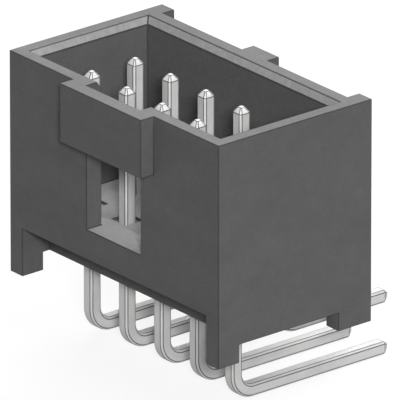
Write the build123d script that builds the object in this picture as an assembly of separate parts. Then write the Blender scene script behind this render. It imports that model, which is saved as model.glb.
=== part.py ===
from build123d import *
import os

# A right-angle plug for a printed circuit board: ten square contacts in two rows,
# pressed into the floor of a moulded shroud and bent back to the board.
# X runs along the rows, Y points to the board, and Z points out of the mouth, the way
# the mating connector is pulled off. The origin is in the middle of the contact grid,
# level with the underside of the lower row of tails. All sizes are in millimetres.

# Contact grid
positions = 5             # contacts in each row
pitch = 2.00              # from contact to contact along a row
row_gap = 2.00            # from the front row to the back row in the mouth
tail_row_gap = 2.00       # from the lower row of tails to the upper row

# Contacts, made of square wire with broken edges
wire = 0.50               # side of the square
wire_edge = 0.08          # broken edge along the wire
bend_radius = 0.50        # inside of the right-angle bend
bend_clear = 0.08         # straight wire between the floor and the upper bends
point_flat = 0.20         # width that is left at the end of a point
mating_point = 0.20       # length of the point in the mouth
tail_point = 0.22         # length of the point on a tail
tip_below_rim = 0.80      # the mating ends stand this far below the rim
tail_reach = 2.25         # length of tail past the board seat

# Shroud walls
end_wall = 0.70           # thickness of the two end walls
side_wall = 0.70          # thickness of the front and back walls
end_room = 1.20           # from the last contact of a row to the end wall
side_room = 1.55          # from a row to the front or back wall
shroud_height = 8.55      # from the underside of the legs to the rim
lead_in_width = 0.20      # bevel round the mouth, across the wall
lead_in_depth = 0.27      # bevel round the mouth, down the wall

# Floor that holds the contacts
floor_thickness = 1.95
floor_margin = 1.00       # floor beyond the middle of each row
ledge_step = 0.35         # the ledge along each side wall stands this far above the floor
skirt_lift = 1.15         # lower edge of the side walls, above the underside of the floor
pocket_width = 0.78       # shallow square pocket round each contact
pocket_depth = 0.10

# Legs and board standoffs
leg_drop = 0.70           # the end walls' legs, below the underside of the floor
leg_depth = 0.97          # each leg, in from the face of the side wall
standoff = 0.55           # end walls and rib stand this far behind the back wall
rib_width = 1.44          # middle rib on the back wall

# Key boss on the front wall, with the key slot inside it and the lock window below it
boss_width = 4.56
boss_height = 2.25        # down from the rim
boss_stand = 0.60         # out from the front wall
slot_width = 3.05         # the slot is as deep as the front wall, so it opens below the boss

# Levels and planes worked out from the sizes above
floor_under = tail_row_gap + wire + bend_radius + bend_clear
floor_top = floor_under + floor_thickness
ledge_top = floor_top + ledge_step
skirt_under = floor_under + skirt_lift
leg_under = floor_under - leg_drop
rim = leg_under + shroud_height
tip_top = rim - tip_below_rim
end_inner = (positions - 1) * pitch / 2 + end_room
end_outer = end_inner + end_wall
side_inner = row_gap / 2 + side_room
side_outer = side_inner + side_wall
floor_side = row_gap / 2 + floor_margin
board_seat = side_outer + standoff
tail_end = board_seat + tail_reach
over = 1.0                # cutters run this far past the open side that they cut from


def row_places():
    """The X places of the contacts in a row."""
    first = -(positions - 1) * pitch / 2
    return [first + pitch * index for index in range(positions)]


def block(x_range, y_range, z_range):
    """A box between two planes in each direction."""
    sizes = [high - low for low, high in (x_range, y_range, z_range)]
    corner = Pos(x_range[0], y_range[0], z_range[0])
    return corner * Box(*sizes, align=(Align.MIN, Align.MIN, Align.MIN))


def wall_slice(outline, x_low, x_high):
    """A closed outline of (Y, Z) points, made solid between two X planes."""
    face = make_face(Polyline(*outline, close=True))
    return extrude(Plane.YZ.offset(x_low) * face, amount=x_high - x_low)


def mouth_section():
    """The section along the rows: side walls, ledges and the thick floor between them."""
    back_half = [
        (floor_side, floor_under),
        (floor_side, skirt_under),
        (side_outer, skirt_under),
        (side_outer, rim),
        (side_inner, rim),
        (side_inner, ledge_top),
        (floor_side, ledge_top),
        (floor_side, floor_top),
    ]
    front_half = [(-y, z) for y, z in reversed(back_half)]
    return back_half + front_half


def end_wall_outline():
    """An end wall with a leg at each side of its notch, and the standoff at the back."""
    front_leg = -side_outer + leg_depth
    back_leg = side_outer - leg_depth
    return [
        (-side_outer, leg_under),
        (front_leg, leg_under),
        (front_leg, floor_under),
        (back_leg, floor_under),
        (back_leg, leg_under),
        (board_seat, leg_under),
        (board_seat, rim),
        (-side_outer, rim),
    ]


def lead_in():
    """The bevel round the mouth, as the wedge-sided plug that it is cut with."""
    foot = Rectangle(2 * end_inner, 2 * side_inner)
    head = Rectangle(2 * (end_inner + lead_in_width), 2 * (side_inner + lead_in_width))
    return loft([Pos(0, 0, rim - lead_in_depth) * foot, Pos(0, 0, rim) * head])


def key_boss():
    """The boss that carries the key slot past the front wall."""
    front = -side_outer - boss_stand
    return block((-boss_width / 2, boss_width / 2), (front, -side_outer), (rim - boss_height, rim))


def key_slot():
    """The slot from the rim to the ledge, which opens below the boss as the lock window."""
    middle = -side_inner + over
    return block((-slot_width / 2, slot_width / 2), (-side_outer, middle), (ledge_top, rim + over))


def contact_seats():
    """The square holes through the floor, each with its shallow pocket."""
    hole = Box(wire, wire, floor_thickness + 2 * over)
    pocket = Box(pocket_width, pocket_width, 2 * pocket_depth)
    middle = floor_under + floor_thickness / 2
    cutters = []
    for x in row_places():
        for y in (-row_gap / 2, row_gap / 2):
            cutters.append(Pos(x, y, middle) * hole)
            cutters.append(Pos(x, y, floor_top) * pocket)
    return cutters


def housing():
    """The whole moulding, as one solid."""
    body = wall_slice(mouth_section(), -end_inner, end_inner)
    body += wall_slice(end_wall_outline(), -end_outer, -end_inner)
    body += wall_slice(end_wall_outline(), end_inner, end_outer)
    body += block((-rib_width / 2, rib_width / 2), (side_outer, board_seat), (skirt_under, rim))
    body += key_boss()
    body -= lead_in()
    body -= key_slot()
    body -= contact_seats()
    return body


def wire_section(width, edge):
    """A square with broken corners."""
    return chamfer(Rectangle(width, width).vertices(), edge)


def point(base, length):
    """The pyramid point on a wire end, along Z of the plane that it stands on."""
    share = point_flat / wire
    foot = wire_section(wire, wire_edge)
    head = wire_section(point_flat, wire_edge * share)
    return loft([base * foot, base * Pos(0, 0, length) * head])


def contact(x, y, tail_under):
    """One contact: a stem at (x, y), a right-angle bend, and a tail to the board."""
    middle = bend_radius + wire / 2
    tail_z = tail_under + wire / 2
    bend_z = tail_z + middle
    bend_y = y + middle
    section = wire_section(wire, wire_edge)

    stem_foot = Plane(origin=(x, y, bend_z), x_dir=(1, 0, 0), z_dir=(0, 0, 1))
    stem_length = tip_top - mating_point - bend_z
    stem = extrude(stem_foot * section, amount=stem_length)
    stem += point(stem_foot * Pos(0, 0, stem_length), mating_point)

    tail_foot = Plane(origin=(x, bend_y, tail_z), x_dir=(1, 0, 0), z_dir=(0, 1, 0))
    tail_length = tail_end - tail_point - bend_y
    tail = extrude(tail_foot * section, amount=tail_length)
    tail += point(tail_foot * Pos(0, 0, tail_length), tail_point)

    bend_axis = Axis((x, bend_y, bend_z), (1, 0, 0))
    bend = revolve(stem_foot * section, axis=bend_axis, revolution_arc=90)
    return stem + bend + tail


os.makedirs("parts", exist_ok=True)
export_step(housing(), "parts/housing.step")
for number, place in enumerate(row_places(), start=1):
    long_contact = contact(place, -row_gap / 2, 0)
    short_contact = contact(place, row_gap / 2, tail_row_gap)
    export_step(long_contact, f"parts/long_contact_{number}.step")
    export_step(short_contact, f"parts/short_contact_{number}.step")

print(f"shroud {2 * end_outer:.2f} long, {side_outer + board_seat:.2f} deep, rim at {rim:.2f}")
print(f"tails end {tail_end:.2f} behind the grid, mating ends at {tip_top:.2f}")
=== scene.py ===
# %% [markdown]
# # A right-angle plug for a circuit board
#
# The object is a plug of the kind that is soldered to a circuit board: one moulded plastic
# shroud and ten square metal contacts, each bent back to the board. The construction comes
# ready made, as solids at their real size. This lesson gives it its looks: edges that are
# as soft as moulded and drawn edges are, smooth bends, a matt plastic and a tin plating.

# %% [markdown]
# ## Load the solids
#
# The solids are only hidden later, so the box round each of them can still be read.

# %% Load the solids
import math
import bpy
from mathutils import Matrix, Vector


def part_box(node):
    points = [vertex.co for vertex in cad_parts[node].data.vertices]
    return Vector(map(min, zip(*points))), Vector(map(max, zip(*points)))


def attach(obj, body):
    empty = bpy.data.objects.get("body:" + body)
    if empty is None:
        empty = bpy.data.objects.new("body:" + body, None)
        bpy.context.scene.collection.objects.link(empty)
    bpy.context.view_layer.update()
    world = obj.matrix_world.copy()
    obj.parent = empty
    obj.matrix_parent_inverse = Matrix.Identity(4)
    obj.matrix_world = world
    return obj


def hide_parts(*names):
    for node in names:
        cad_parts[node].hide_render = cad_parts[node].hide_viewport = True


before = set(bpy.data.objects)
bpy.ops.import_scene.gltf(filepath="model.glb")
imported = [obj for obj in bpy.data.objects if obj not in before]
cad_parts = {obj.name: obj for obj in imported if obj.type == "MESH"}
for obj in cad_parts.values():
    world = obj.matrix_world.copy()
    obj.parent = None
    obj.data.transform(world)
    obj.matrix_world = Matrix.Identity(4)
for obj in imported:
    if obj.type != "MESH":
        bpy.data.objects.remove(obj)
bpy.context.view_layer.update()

from types import SimpleNamespace

import bpy
import numpy as np
from mathutils import Matrix, Vector

MM = 0.001


# %% [markdown]
# ## The camera
#
# The picture shows the plug in a parallel view, from its front right corner and from
# above. An orthographic camera would show just that, and a very long lens far away gives
# nearly the same picture. The lens is chosen, because it still frames the plug from every
# other side. Its distance follows from the width of the view.

# %% Camera
VIEW_AZIMUTH = math.radians(50.75)
VIEW_ELEVATION = math.radians(22.3)
VIEW_WIDTH = 14.28 * MM
AIM = Vector((0.36, 0.437, 6.164)) * MM
LENS = 1500
SENSOR = 36
NEAREST_SHARE = 0.1
FARTHEST_SHARE = 4.0


def look_from(azimuth, elevation):
    """The direction from the plug to an eye or a lamp at these angles."""
    flat = math.cos(elevation)
    return Vector((math.sin(azimuth) * flat, -math.cos(azimuth) * flat, math.sin(elevation)))


def facing_back(direction):
    """The turn of a camera or lamp that stands in this direction and points at the plug."""
    return direction.to_track_quat("Z", "Y").to_euler()


to_eye = look_from(VIEW_AZIMUTH, VIEW_ELEVATION)
distance = VIEW_WIDTH * LENS / SENSOR
bpy.ops.object.camera_add(location=AIM + to_eye * distance, rotation=facing_back(to_eye))
camera = bpy.context.active_object
camera.name = "camera"
camera.data.lens = LENS
camera.data.sensor_width = SENSOR
camera.data.clip_start = distance * NEAREST_SHARE
camera.data.clip_end = distance * FARTHEST_SHARE
bpy.context.scene.camera = camera
print("camera", round(distance, 3), "m away")

# %% [markdown]
# ## The surround
#
# A white surround suits a part this small. Simply turning the world up to white would
# light the plug from all sides alike, and its shape would hardly show. So the world has
# two strengths, and the Light Path node tells them apart. Where the camera, a reflection
# or a clear material looks at the world, it is white. Where it only lights the plug, it
# is a faint fill.

# %% Surround
WHITE = (1, 1, 1, 1)
SEEN_WHITE = 1.0
WORLD_FILL = 0.07


def background_rays(tree):
    """A socket that is 1 for the rays that see the surround, and 0 for those that light the plug."""
    path = tree.nodes.new("ShaderNodeLightPath")
    seen = path.outputs["Is Camera Ray"]
    for kind in ("Is Glossy Ray", "Is Transmission Ray"):
        either = tree.nodes.new("ShaderNodeMath")
        either.operation = "MAXIMUM"
        tree.links.new(seen, either.inputs[0])
        tree.links.new(path.outputs[kind], either.inputs[1])
        seen = either.outputs[0]
    return seen


def two_strengths(tree, lighting, seen):
    """A strength for the rays that light the plug, and another for those that see the surround."""
    node = tree.nodes.new("ShaderNodeMapRange")
    node.inputs["To Min"].default_value = lighting
    node.inputs["To Max"].default_value = seen
    tree.links.new(background_rays(tree), node.inputs["Value"])
    return node.outputs[0]


world = bpy.data.worlds.new("studio")
bpy.context.scene.world = world
world.use_nodes = True
tree = world.node_tree
background = tree.nodes["Background"]
background.inputs["Color"].default_value = WHITE
tree.links.new(two_strengths(tree, WORLD_FILL, SEEN_WHITE), background.inputs["Strength"])
bpy.context.scene.view_settings.view_transform = "Standard"
print("world fill", WORLD_FILL)

# %% [markdown]
# ## The lamps
#
# The main lamp stands at the front right, close to the line that the camera looks along.
# So its light reaches nearly all that the picture shows: the contacts in the mouth and in
# the window, and the tails below. It stands a little to the right of that line, and the
# key boss throws a narrow shadow that sets it off from the wall. A lamp high on the right
# adds light to the tops and to the floor of the mouth, and one behind lights the back and
# the tops of the tails. Area lamps would do too, but their light falls off over the
# floor. Sun lamps light it evenly, a wide angle makes them soft, and at a strength of pi
# one of them lights a white card to full white.

# %% Lamps
def softbox(name, azimuth, elevation, width, level):
    """A sun lamp at these angles and this wide, all in degrees, at a share of full white."""
    to_lamp = look_from(math.radians(azimuth), math.radians(elevation))
    bpy.ops.object.light_add(type="SUN", location=AIM + to_lamp, rotation=facing_back(to_lamp))
    lamp = bpy.context.active_object
    lamp.name = name
    lamp.data.angle = math.radians(width)
    lamp.data.energy = level * math.pi
    print(name, "strength", round(lamp.data.energy, 2))


softbox("front_lamp", azimuth=55, elevation=25, width=11, level=0.76)
softbox("top_lamp", azimuth=107, elevation=69, width=34, level=0.38)
softbox("back_lamp", azimuth=220, elevation=40, width=40, level=0.42)

# %% [markdown]
# ## The floor
#
# The floor is a wide sheet of paper. A white one would throw much light up under the
# plug, so this one is grey where it lights the plug. Where it is seen, a glow of its own
# brings it up to white, and the shadow of the plug still lies on it. It lies a hair below
# the tails, so that the two never share a plane.

# %% Floor
FLOOR_SIZE = 2.0
FLOOR_DROP = 0.02 * MM
FLOOR_TONE = (0.14, 0.14, 0.14, 1)
FLOOR_ROUGHNESS = 0.9
FLOOR_GLOW = 0.85

bpy.ops.mesh.primitive_plane_add(size=FLOOR_SIZE, location=(0, 0, -FLOOR_DROP))
floor = bpy.context.active_object
floor.name = "floor"
paper = bpy.data.materials.new("floor_paper")
paper.use_nodes = True
tree = paper.node_tree
shader = tree.nodes["Principled BSDF"]
shader.inputs["Base Color"].default_value = FLOOR_TONE
shader.inputs["Roughness"].default_value = FLOOR_ROUGHNESS
shader.inputs["Emission Color"].default_value = WHITE
tree.links.new(two_strengths(tree, 0.0, FLOOR_GLOW), shader.inputs["Emission Strength"])
floor.data.materials.append(paper)
print("floor", FLOOR_SIZE, "m")

# %% [markdown]
# ## The shroud
#
# The shroud is one moulding. Its solid has the true form, so nothing is modelled again: a
# copy of the solid's mesh is taken. Such a mesh is loose triangles. Their corners are
# merged, and triangles in one plane are joined into whole faces, which a bevel can then
# run round. Operators act on whatever is selected, so the shroud is first selected alone.

# %% Shroud
SAME_PLACE = 0.001 * MM
SAME_PLANE = math.radians(1)


def select_only(piece):
    """Select one piece, and nothing else."""
    bpy.ops.object.select_all(action="DESELECT")
    piece.select_set(True)
    bpy.context.view_layer.objects.active = piece


shroud = bpy.data.objects.new("moulded_shroud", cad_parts["housing"].data.copy())
bpy.context.scene.collection.objects.link(shroud)
shroud.data.materials.clear()
select_only(shroud)
bpy.ops.object.mode_set(mode="EDIT")
bpy.ops.mesh.select_all(action="SELECT")
bpy.ops.mesh.remove_doubles(threshold=SAME_PLACE)
bpy.ops.mesh.dissolve_limited(angle_limit=SAME_PLANE)
bpy.ops.object.mode_set(mode="OBJECT")
print("shroud faces before the bevel:", len(shroud.data.polygons))

# %% [markdown]
# ## The grain of the plastic
#
# The shroud is a glass-filled plastic, dark grey and matt. Its faces copy a spark-eroded
# mould, which gives them a fine, even grain with small pits. The colour drifts a little
# where the melt flowed, and fibre ends show as faint pale specks. Each finish of the
# shroud could have a node tree of its own, but all of them show the same grain, only
# darker, paler, smoother or more scraped. So the grain is built once, as a node group,
# and each finish places it with its own values.

# %% An empty node group
def node_group(name, inputs, outputs):
    """An empty node group with these named sockets, as (kind, name) pairs."""
    tree = bpy.data.node_groups.new(name, "ShaderNodeTree")
    for in_out, sockets in (("INPUT", inputs), ("OUTPUT", outputs)):
        for kind, label in sockets:
            tree.interface.new_socket(label, in_out=in_out, socket_type="NodeSocket" + kind)
    return tree, tree.nodes.new("NodeGroupInput"), tree.nodes.new("NodeGroupOutput")


grain, grain_in, grain_out = node_group(
    "moulded_grain",
    [("Vector", "Place"), ("Float", "Tone"), ("Float", "Roughness"), ("Float", "Scuffs")],
    [("Color", "Colour"), ("Float", "Roughness"), ("Float", "Height")],
)
print("group", grain.name, "takes", [socket.name for socket in grain_in.outputs if socket.name])

# %% [markdown]
# ## Patterns in the plastic
#
# Six patterns lie under the looks: a broad one, stretched along the flow of the melt, a
# cloudy one, three fine ones for the grain, its pits and the fibre ends, and a streaky
# one for scrapes down a slope. An image could hold them, but it would have to be wrapped
# round every wall, and it would blur close up. Noise in three dimensions runs through the
# piece as the material does. It is measured in millimetres, so each scale is a real size.

# %% Patterns in the plastic
FLOW_STRETCH = (0.35, 1.0, 1.6)
FLOW_SCALE = 0.55
CLOUD_SCALE = 2.6
SPECK_SCALE = 21.0
GRAIN_SCALE = 16.0
PIT_SCALE = 11.0
SCUFF_STRETCH = (7.0, 7.0, 0.9)


def scaled(tree, vector, factors):
    """The vector, multiplied axis by axis."""
    node = tree.nodes.new("ShaderNodeVectorMath")
    node.operation = "MULTIPLY"
    node.inputs[1].default_value = factors
    tree.links.new(vector, node.inputs[0])
    return node.outputs[0]


def noise(tree, vector, scale, detail):
    """A noise pattern on this vector, with scale in features per unit of it."""
    node = tree.nodes.new("ShaderNodeTexNoise")
    node.inputs["Scale"].default_value = scale
    node.inputs["Detail"].default_value = detail
    tree.links.new(vector, node.inputs["Vector"])
    return node.outputs["Fac"]


place = grain_in.outputs["Place"]
flow = noise(grain, scaled(grain, place, FLOW_STRETCH), FLOW_SCALE, detail=3)
cloud = noise(grain, place, CLOUD_SCALE, detail=2)
fibre_ends = noise(grain, place, SPECK_SCALE, detail=0)
scrapes = noise(grain, scaled(grain, place, SCUFF_STRETCH), scale=1, detail=2)
fine = noise(grain, place, GRAIN_SCALE, detail=3)
pits = grain.nodes.new("ShaderNodeTexVoronoi")
pits.inputs["Scale"].default_value = PIT_SCALE
grain.links.new(place, pits.inputs["Vector"])
print("patterns in the plastic:", len(grain.nodes), "nodes")

# %% [markdown]
# ## Roughness and height of the plastic
#
# Where the melt is paler it is also a touch smoother, so the drift of the colour swings
# the roughness as well. The height joins the fine grain and its pits. Nodes could be
# wired one by one here, but that is long to read. Two helpers add a node and hand back
# its output, so that the lines below read like sums.

# %% Roughness and height of the plastic
FLOW_SHARE = 0.65
SHEEN_RANGE = (0.25, 0.75)
SHEEN_SWING = (0.05, -0.05)
PIT_SHARE = 0.8


def calculate(tree, operation, first, second):
    """One step of arithmetic between sockets or plain numbers."""
    node = tree.nodes.new("ShaderNodeMath")
    node.operation = operation
    for slot, value in enumerate((first, second)):
        if isinstance(value, (int, float)):
            node.inputs[slot].default_value = value
        else:
            tree.links.new(value, node.inputs[slot])
    return node.outputs[0]


def ramp(tree, value, source, target):
    """The value, mapped from a source range to a target range and held at its ends."""
    node = tree.nodes.new("ShaderNodeMapRange")
    for label, number in zip(("From Min", "From Max", "To Min", "To Max"), source + target):
        node.inputs[label].default_value = number
    tree.links.new(value, node.inputs["Value"])
    return node.outputs[0]


flow_part = calculate(grain, "MULTIPLY", flow, FLOW_SHARE)
cloud_part = calculate(grain, "MULTIPLY", cloud, 1 - FLOW_SHARE)
drift = calculate(grain, "ADD", flow_part, cloud_part)
roughness = ramp(grain, drift, SHEEN_RANGE, SHEEN_SWING)
roughness = calculate(grain, "ADD", roughness, grain_in.outputs["Roughness"])
grain.links.new(roughness, grain_out.inputs["Roughness"])
pit_part = calculate(grain, "MULTIPLY", pits.outputs["Distance"], PIT_SHARE)
grain.links.new(calculate(grain, "ADD", fine, pit_part), grain_out.inputs["Height"])
print("with roughness and height:", len(grain.nodes), "nodes")

# %% [markdown]
# ## Colour of the plastic
#
# The drift leads from a darker melt to a lighter one, and specks and scrapes are mixed in
# on top, as pale fibre. The colours could be written as they are for each finish. They
# are shares of the finish's tone instead, and the last step multiplies them by it. So
# one number makes a finish paler or darker, and its pattern keeps its contrast.

# %% Colour of the plastic
DARK_MELT = (0.80, 0.80, 0.82, 1)
LIGHT_MELT = (1.20, 1.20, 1.19, 1)
PALE_FIBRE = (1.90, 1.90, 1.85, 1)
DRIFT_RANGE = (0.05, 0.95)
SPECK_RANGE = (0.66, 0.74)
SPECK_SHARE = 0.30
SCRAPE_RANGE = (0.45, 0.62)


def blend_colour(tree, share, first, second):
    """A mix of two colours or colour sockets."""
    node = tree.nodes.new("ShaderNodeMix")
    node.data_type = "RGBA"
    tree.links.new(share, node.inputs["Factor"])
    for label, value in (("A", first), ("B", second)):
        socket = next(s for s in node.inputs if s.name == label and s.type == "RGBA")
        if isinstance(value, tuple):
            socket.default_value = value
        else:
            tree.links.new(value, socket)
    return next(s for s in node.outputs if s.type == "RGBA")


def times(tree, colour, factor):
    """A colour socket, multiplied by a number socket."""
    node = tree.nodes.new("ShaderNodeVectorMath")
    node.operation = "SCALE"
    tree.links.new(colour, node.inputs[0])
    tree.links.new(factor, node.inputs["Scale"])
    return node.outputs[0]


melt = blend_colour(grain, ramp(grain, drift, DRIFT_RANGE, (0, 1)), DARK_MELT, LIGHT_MELT)
specks = ramp(grain, fibre_ends, SPECK_RANGE, (0, SPECK_SHARE))
scuffs = ramp(grain, scrapes, SCRAPE_RANGE, (0, 1))
scuffs = calculate(grain, "MULTIPLY", scuffs, grain_in.outputs["Scuffs"])
marked = blend_colour(grain, calculate(grain, "MAXIMUM", specks, scuffs), melt, PALE_FIBRE)
colour = times(grain, marked, grain_in.outputs["Tone"])
grain.links.new(colour, grain_out.inputs["Colour"])
print("group", grain.name, "with", len(grain.nodes), "nodes")

# %% [markdown]
# ## Five finishes for the plastic
#
# The grain on the walls scatters light. Handling wears it off the edges, so they are
# darker and smoother. The flat rim is painted a shade paler, as painted light where the
# lamps from above fall on it. The bevel inside it is painted paler still, as painted light
# on its lit slope, and fine scuffs down its slope are real wear. The floor of the mouth and
# its ledges are painted pale too, as painted light that makes up for the shade of the walls
# round them. One material with masks could hold all this, but five plain ones, given to
# faces, are easier to read and to change. The relief goes through a Bump node in each
# material, and what is even all over is set on the shader's own sockets.

# %% Plastic materials
PLASTIC_TONE = 0.119
PLASTIC_SPECULAR = 0.13


def surface(name, effect_tree, relief):
    """A material that takes colour, roughness and relief from a node group placed in it."""
    material = bpy.data.materials.new(name)
    material.use_nodes = True
    tree = material.node_tree
    shader = tree.nodes["Principled BSDF"]
    effect = tree.nodes.new("ShaderNodeGroup")
    effect.node_tree = effect_tree
    coordinates = tree.nodes.new("ShaderNodeTexCoord")
    in_mm = scaled(tree, coordinates.outputs["Object"], (1 / MM, 1 / MM, 1 / MM))
    tree.links.new(in_mm, effect.inputs["Place"])
    tree.links.new(effect.outputs["Colour"], shader.inputs["Base Color"])
    tree.links.new(effect.outputs["Roughness"], shader.inputs["Roughness"])
    bump = tree.nodes.new("ShaderNodeBump")
    bump.inputs["Distance"].default_value = relief
    tree.links.new(effect.outputs["Height"], bump.inputs["Height"])
    tree.links.new(bump.outputs["Normal"], shader.inputs["Normal"])
    return material, shader, effect


def plastic(name, paler, roughness, relief, scuffs=0.0):
    """Give the shroud a finish, so many times as pale as its walls, and return its slot."""
    material, shader, effect = surface(name, grain, relief)
    shader.inputs["Specular IOR Level"].default_value = PLASTIC_SPECULAR
    effect.inputs["Tone"].default_value = PLASTIC_TONE * paler
    effect.inputs["Roughness"].default_value = roughness
    effect.inputs["Scuffs"].default_value = scuffs
    shroud.data.materials.append(material)
    print(name, "tone", round(PLASTIC_TONE * paler, 3))
    return len(shroud.data.materials) - 1


WALLS = plastic("matt_plastic", paler=1, roughness=0.56, relief=0.006 * MM)
EDGES = plastic("polished_plastic_edge", paler=0.5, roughness=0.42, relief=0.002 * MM)
# The lead-in is 2.6 times as pale as the walls: painted light on its lit slope. The scuffs on it are
# real wear.
LEAD_IN = plastic("scuffed_painted_lit_lead_in", paler=2.6, roughness=0.48, relief=0.003 * MM, scuffs=0.15)
# The floor of the mouth is 3.2 times as pale as the walls: painted light against the shade inside
# the mouth.
MOUTH_FLOOR = plastic("painted_lit_mouth_floor", paler=3.2, roughness=0.56, relief=0.006 * MM)
# The rim is 1.55 times as pale as the walls: painted light on the top face, where light from above
# falls.
RIM = plastic("painted_lit_rim", paler=1.55, roughness=0.52, relief=0.004 * MM)

# %% [markdown]
# ## Where each finish goes
#
# Faces are picked in code, by the way that they face and by their height. Only the bevel
# round the mouth slopes, the rim faces up at the very top, and the floor of the mouth and
# its ledges face up from deep inside. No mould makes a dead sharp edge: a real one is
# rounded by a few hundredths of a millimetre. Each edge could be picked and bevelled in
# edit mode, but one bevel modifier rounds them all alike, and its new faces take the edge
# finish.

# %% Finish the shroud
SHROUD_EDGE = 0.035 * MM
SLOPING = 0.3
FACING_UP = 0.9
DEEP_INSIDE = 6.0 * MM
AT_THE_TOP = 10.9 * MM


def finish_of(face):
    """The material slot of a face."""
    if SLOPING < face.normal.z < FACING_UP:
        return LEAD_IN
    if face.normal.z > FACING_UP and face.center.z < DEEP_INSIDE:
        return MOUTH_FLOOR
    if face.normal.z > FACING_UP and face.center.z > AT_THE_TOP:
        return RIM
    return WALLS


def soften(piece, width, angle, rounds, edge_slot):
    """Round the edges sharper than an angle with a narrow bevel in the edge material."""
    bevel = piece.modifiers.new("bevel", "BEVEL")
    bevel.limit_method = "ANGLE"
    bevel.angle_limit = math.radians(angle)
    bevel.width = width
    bevel.segments = rounds
    bevel.material = edge_slot
    select_only(piece)
    bpy.ops.object.modifier_apply(modifier="bevel")


def even_shading(piece, angle):
    """Smooth the rounded edges, and keep the flat faces flat."""
    select_only(piece)
    bpy.ops.object.shade_smooth_by_angle(angle=math.radians(angle))
    weighted = piece.modifiers.new("weighted", "WEIGHTED_NORMAL")
    weighted.keep_sharp = True
    bpy.ops.object.modifier_apply(modifier="weighted")


for face in shroud.data.polygons:
    face.material_index = finish_of(face)
soften(shroud, SHROUD_EDGE, angle=30, rounds=2, edge_slot=EDGES)
even_shading(shroud, angle=50)
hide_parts("housing")
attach(shroud, "root")
print("shroud faces:", len(shroud.data.polygons))

# %% [markdown]
# ## The sizes of a contact
#
# A contact is square wire with broken edges, cut to length, pointed at both ends and
# bent once. The solids' own bends have coarse facets, so the contacts are modelled
# again. Their lengths and places are read from the solids' boxes, so the two agree, and
# only what a box can't tell is written down here.

# %% Contact sizes
WIRE_EDGE = 0.08 * MM
BEND_INSIDE = 0.50 * MM
POINT_FLAT = 0.20 * MM
MATING_POINT = 0.20 * MM
TAIL_POINT = 0.22 * MM


def wire_plan(node):
    """Where the wire's stem, bend and tail run, read from its solid's box."""
    low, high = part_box(node)
    width = high.x - low.x
    turn = BEND_INSIDE + width / 2
    plan = SimpleNamespace(width=width, turn=turn, tip=high.z, tail_end=high.y)
    plan.x = (low.x + high.x) / 2
    plan.y = low.y + width / 2
    plan.tail_z = low.z + width / 2
    plan.bend_y = plan.y + turn
    plan.bend_z = plan.tail_z + turn
    return plan


long_plan = wire_plan("long_contact_1")
short_plan = wire_plan("short_contact_1")
for plan in (long_plan, short_plan):
    places = [round(place / MM, 2) for place in (plan.tail_z, plan.bend_z, plan.tip)]
    print("wire", round(plan.width / MM, 2), "mm, heights of tail, bend and tip in mm:", places)

# %% [markdown]
# ## One contact of each kind
#
# A curve with a square profile would be a quick way to a bent wire, but it gives neither
# the broken edges nor the points. So the wire is made from its outline, in three steps. A
# square gets its corners cut, is spun a quarter turn for the bend, and is drawn out along
# the tail and up the stem. Only the first contact of each row is made like this.

# %% Outline of the wire
def wire_outline(plan, name):
    """A square outline with its corners cut, flat at the foot of the stem."""
    bpy.ops.mesh.primitive_plane_add(size=plan.width, location=(plan.x, plan.y, plan.bend_z))
    piece = bpy.context.active_object
    piece.name = name
    bpy.ops.object.transform_apply(location=True, rotation=True, scale=True)
    bpy.ops.object.mode_set(mode="EDIT")
    bpy.ops.mesh.select_all(action="SELECT")
    bpy.ops.mesh.bevel(affect="VERTICES", offset=WIRE_EDGE, segments=1)
    bpy.ops.mesh.select_all(action="SELECT")
    bpy.ops.mesh.delete(type="ONLY_FACE")
    bpy.ops.object.mode_set(mode="OBJECT")
    return piece


long_contact = wire_outline(long_plan, "tinned_long_contact_1")
short_contact = wire_outline(short_plan, "tinned_short_contact_1")
print("outline of the wire:", len(long_contact.data.edges), "edges")

# %% [markdown]
# ## The bend
#
# A real wire is bent round a pin. The outline could be copied and turned by hand, but the
# spin tool does it in one go: it turns the outline round the axis of the pin in small
# steps and joins them with faces. Sixteen steps leave the bend smooth at this size.

# %% Bend
BEND_STEPS = 16
PIN_AXIS = (-1, 0, 0)


def bend_down(piece, plan):
    """Spin the outline a quarter turn, down from the stem and back to the tail."""
    select_only(piece)
    bpy.ops.object.mode_set(mode="EDIT")
    bpy.ops.mesh.select_all(action="SELECT")
    centre = (plan.x, plan.bend_y, plan.bend_z)
    bpy.ops.mesh.spin(steps=BEND_STEPS, angle=math.pi / 2, center=centre, axis=PIN_AXIS)
    bpy.ops.object.mode_set(mode="OBJECT")


bend_down(long_contact, long_plan)
bend_down(short_contact, short_plan)
print("faces round a bend:", len(long_contact.data.polygons))

# %% [markdown]
# ## The tail and the stem
#
# A real wire runs straight on from its bend, and both its ends are swaged to a point. The
# two ends of the bend are extruded, and the last short step of each shrinks to the point.
# The end to work on is picked by its place, because what a tool leaves selected is easily
# lost. Spin can turn a shape inside out, so the doubles are merged and the normals are
# made consistent at the end.

# %% Tail and stem
BACK = Vector((0, 1, 0))
UP = Vector((0, 0, 1))


def pick_across(piece, direction, place):
    """In edit mode, select the edges that lie across a direction, at this place along it."""
    bpy.ops.mesh.select_mode(type="EDGE")
    bpy.ops.mesh.select_all(action="DESELECT")
    bpy.ops.object.mode_set(mode="OBJECT")
    places = [corner.co.dot(direction) for corner in piece.data.vertices]
    for edge in piece.data.edges:
        edge.select = all(abs(places[end] - place) < SAME_PLACE for end in edge.vertices)
    bpy.ops.object.mode_set(mode="EDIT")


def draw_out(direction, length, point, share, centre):
    """Extrude the picked outline along a direction, then shrink it to a point and close it."""
    bpy.ops.mesh.extrude_edges_move(TRANSFORM_OT_translate={"value": direction * (length - point)})
    bpy.ops.mesh.extrude_edges_move(TRANSFORM_OT_translate={"value": direction * point})
    bpy.ops.transform.resize(value=(share, share, share), center_override=centre)
    bpy.ops.mesh.edge_face_add()


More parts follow.
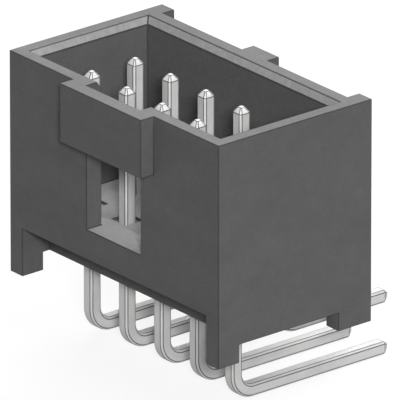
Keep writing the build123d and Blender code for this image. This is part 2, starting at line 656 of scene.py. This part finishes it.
def add_tail_and_stem(piece, plan):
    """Draw the wire out from both ends of the bend, and turn its faces outwards."""
    select_only(piece)
    bpy.ops.object.mode_set(mode="EDIT")
    share = POINT_FLAT / plan.width
    pick_across(piece, BACK, plan.bend_y)
    tail_tip = (plan.x, plan.tail_end, plan.tail_z)
    draw_out(BACK, plan.tail_end - plan.bend_y, TAIL_POINT, share, tail_tip)
    pick_across(piece, UP, plan.bend_z)
    stem_tip = (plan.x, plan.y, plan.tip)
    draw_out(UP, plan.tip - plan.bend_z, MATING_POINT, share, stem_tip)
    bpy.ops.mesh.select_all(action="SELECT")
    bpy.ops.mesh.remove_doubles(threshold=SAME_PLACE)
    bpy.ops.mesh.normals_make_consistent(inside=False)
    bpy.ops.object.mode_set(mode="OBJECT")
    reach = [round(side / MM, 3) for side in piece.dimensions]
    print(piece.name, len(piece.data.polygons), "faces,", reach, "mm")


add_tail_and_stem(long_contact, long_plan)
add_tail_and_stem(short_contact, short_plan)

# %% [markdown]
# ## Drawn streaks in the plating
#
# The wire is drawn through a die and then plated with matt tin. Drawing leaves fine
# lines along the wire, round the bend too, so the pattern can't simply follow X, Y or
# Z. It reads the place along the wire and across it instead, which each vertex will
# store. The place on the plug shifts it from contact to contact, so that no two are
# alike. The plating drifts between a warmer and a cooler grey, and has fine crystals.
# Both finishes of the wire share all this, so it is a node group again.

# %% Patterns in the plating
STREAK_STRETCH = (22.0, 22.0, 0.45)
WIRE_SHIFT = (7.0, 0.0, 0.0)
TIN_CLOUD_SCALE = 1.3
CRYSTAL_SCALE = 24.0

streaks, streaks_in, streaks_out = node_group(
    "drawn_streaks",
    [("Vector", "Wire"), ("Vector", "Place"), ("Float", "Tone"), ("Float", "Roughness")],
    [("Color", "Colour"), ("Float", "Roughness"), ("Float", "Height")],
)
apart = streaks.nodes.new("ShaderNodeVectorMath")
streaks.links.new(streaks_in.outputs["Wire"], apart.inputs[0])
shift = scaled(streaks, streaks_in.outputs["Place"], WIRE_SHIFT)
streaks.links.new(shift, apart.inputs[1])
along = apart.outputs[0]
lines = noise(streaks, scaled(streaks, along, STREAK_STRETCH), scale=1, detail=3)
tin_cloud = noise(streaks, along, TIN_CLOUD_SCALE, detail=3)
crystals = noise(streaks, along, CRYSTAL_SCALE, detail=2)
print("patterns in the plating:", len(streaks.nodes), "nodes")

# %% [markdown]
# ## Colour, roughness and height of the plating
#
# The streaks are darker, rougher and deeper than the tin between them. The mating ends
# are lighter than the tails, in part because the plating is thicker there and in part as
# painted light, which makes up for the shade that the shroud casts on them. The two zones
# meet inside the floor. A third material could do that, but the level at which they meet
# is easily read from the height on the plug, so the group lifts the colour above it.

# %% Colour, roughness and height of the plating
COOL_TIN = (0.90, 0.915, 0.93, 1)
WARM_TIN = (1.02, 1.01, 0.98, 1)
STREAKED_TIN = (0.80, 0.80, 0.80, 1)
TIN_CLOUD_RANGE = (0.35, 0.65)
LINE_RANGE = (0.40, 0.60)
LINE_SHARE = 0.35
CRYSTAL_SHARE = 0.5
TIN_SHEEN_RANGE = (0.35, 0.65)
TIN_SHEEN_SWING = (0.07, -0.05)
ZONES_MEET = (3.9, 4.1)
# Part thicker plating, part painted light against the shade inside the shroud.
PLATING_AND_PAINTED_LIGHT_LIFT = 1.17

warmth = ramp(streaks, tin_cloud, TIN_CLOUD_RANGE, (0, 1))
clouded = blend_colour(streaks, warmth, COOL_TIN, WARM_TIN)
drawn = ramp(streaks, lines, LINE_RANGE, (LINE_SHARE, 0))
streaked = blend_colour(streaks, drawn, clouded, STREAKED_TIN)
axes = streaks.nodes.new("ShaderNodeSeparateXYZ")
streaks.links.new(streaks_in.outputs["Place"], axes.inputs[0])
# Lighten the mating ends: part thicker plating, part painted light against the shroud's shade.
plating_and_painted_lift = ramp(streaks, axes.outputs["Z"], ZONES_MEET, (1, PLATING_AND_PAINTED_LIGHT_LIFT))
colour = times(streaks, times(streaks, streaked, plating_and_painted_lift), streaks_in.outputs["Tone"])
streaks.links.new(colour, streaks_out.inputs["Colour"])
roughness = ramp(streaks, lines, TIN_SHEEN_RANGE, TIN_SHEEN_SWING)
roughness = calculate(streaks, "ADD", roughness, streaks_in.outputs["Roughness"])
streaks.links.new(roughness, streaks_out.inputs["Roughness"])
crystal_part = calculate(streaks, "MULTIPLY", crystals, CRYSTAL_SHARE)
streaks.links.new(calculate(streaks, "ADD", lines, crystal_part), streaks_out.inputs["Height"])
print("group", streaks.name, "with", len(streaks.nodes), "nodes")

# %% [markdown]
# ## Two finishes for the contacts
#
# Tin is thinnest on the corners of the wire and wears through there first. The alloy
# below has gone dull, so every edge is dark and fine. A value of 1 for Metallic would
# mirror the white surround and hide the streaks. A matt plating scatters most of its
# light, so Metallic stays low, and the colour carries the tin.

# %% Tin materials
TIN_METALLIC = 0.23
TIN_SPECULAR = 0.15


def plating(name, tone, roughness, relief):
    """Matt tin: tone is how light it is, relief the depth of its drawn lines."""
    material, shader, effect = surface(name, streaks, relief)
    shader.inputs["Metallic"].default_value = TIN_METALLIC
    shader.inputs["Specular IOR Level"].default_value = TIN_SPECULAR
    effect.inputs["Tone"].default_value = tone
    effect.inputs["Roughness"].default_value = roughness
    stored = material.node_tree.nodes.new("ShaderNodeAttribute")
    stored.attribute_name = "wire"
    material.node_tree.links.new(stored.outputs["Vector"], effect.inputs["Wire"])
    print(name, "tone", tone)
    return material


matt_tin = plating("matt_tin", tone=0.73, roughness=0.46, relief=0.002 * MM)
worn_tin = plating("worn_tin_edge", tone=0.15, roughness=0.40, relief=0.001 * MM)

# %% [markdown]
# ## Places along the wire
#
# A UV map could carry the streaks, but an unwrapped bend has seams, where the streaks
# would break. So each vertex stores its place in an attribute: across the wire, out from
# the middle of the wire, and along it. The stem is measured straight up from the bend,
# the tail straight back from it, and between them the angle of the turn tells how far
# along the wire a vertex is. The edges are rounded first, so that the new vertices are
# measured too.

# %% Finish the contacts
WIRE_SOFTNESS = 0.020 * MM
WORN_SLOT = 1


def store_wire_places(piece, plan):
    """Write each vertex's place across, out of and along the wire, in millimetres."""
    count = len(piece.data.vertices)
    places = np.zeros(count * 3)
    piece.data.vertices.foreach_get("co", places)
    places = places.reshape(count, 3)
    across = places[:, 0] - plan.x
    back = places[:, 1] - plan.bend_y
    up = places[:, 2] - plan.bend_z
    stem = up >= 0
    tail = (up < 0) & (back >= 0)
    out = np.hypot(back, up) - plan.turn
    along = np.arctan2(-up, -back) * plan.turn
    out[stem] = -back[stem] - plan.turn
    along[stem] = -up[stem]
    out[tail] = -up[tail] - plan.turn
    along[tail] = back[tail] + plan.turn * math.pi / 2
    layer = piece.data.attributes.new("wire", "FLOAT_VECTOR", "POINT")
    layer.data.foreach_set("vector", np.stack([across, out, along], axis=1).ravel() / MM)
    return along.max() - along.min()


for piece, plan in ((long_contact, long_plan), (short_contact, short_plan)):
    piece.data.materials.append(matt_tin)
    piece.data.materials.append(worn_tin)
    soften(piece, WIRE_SOFTNESS, angle=20, rounds=2, edge_slot=WORN_SLOT)
    even_shading(piece, angle=40)
    length = store_wire_places(piece, plan)
    print(piece.name, len(piece.data.polygons), "faces,", round(length / MM, 2), "mm of wire")

# %% [markdown]
# ## The two rows
#
# The other contacts of a row are copies of its first one. Linked copies would be
# lighter, but each contact is a part of its own, so each copy gets a mesh of its own and
# is moved to its solid's place inside that mesh. Each contact then stands for its solid,
# and rides on the plug.

# %% Rows
def fill_row(first, kind):
    """Copy the first contact of a row to the places of the others."""
    row = [first]
    solids = sorted(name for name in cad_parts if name.startswith(kind))
    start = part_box(solids[0])[0]
    for solid in solids[1:]:
        select_only(first)
        bpy.ops.object.duplicate(linked=False)
        piece = bpy.context.active_object
        piece.name = "tinned_" + solid
        piece.data.transform(Matrix.Translation(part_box(solid)[0] - start))
        row.append(piece)
    for piece, solid in zip(row, solids):
        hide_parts(solid)
        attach(piece, "root")
    print(kind, "row:", len(row), "pieces")


fill_row(long_contact, "long_contact")
fill_row(short_contact, "short_contact")
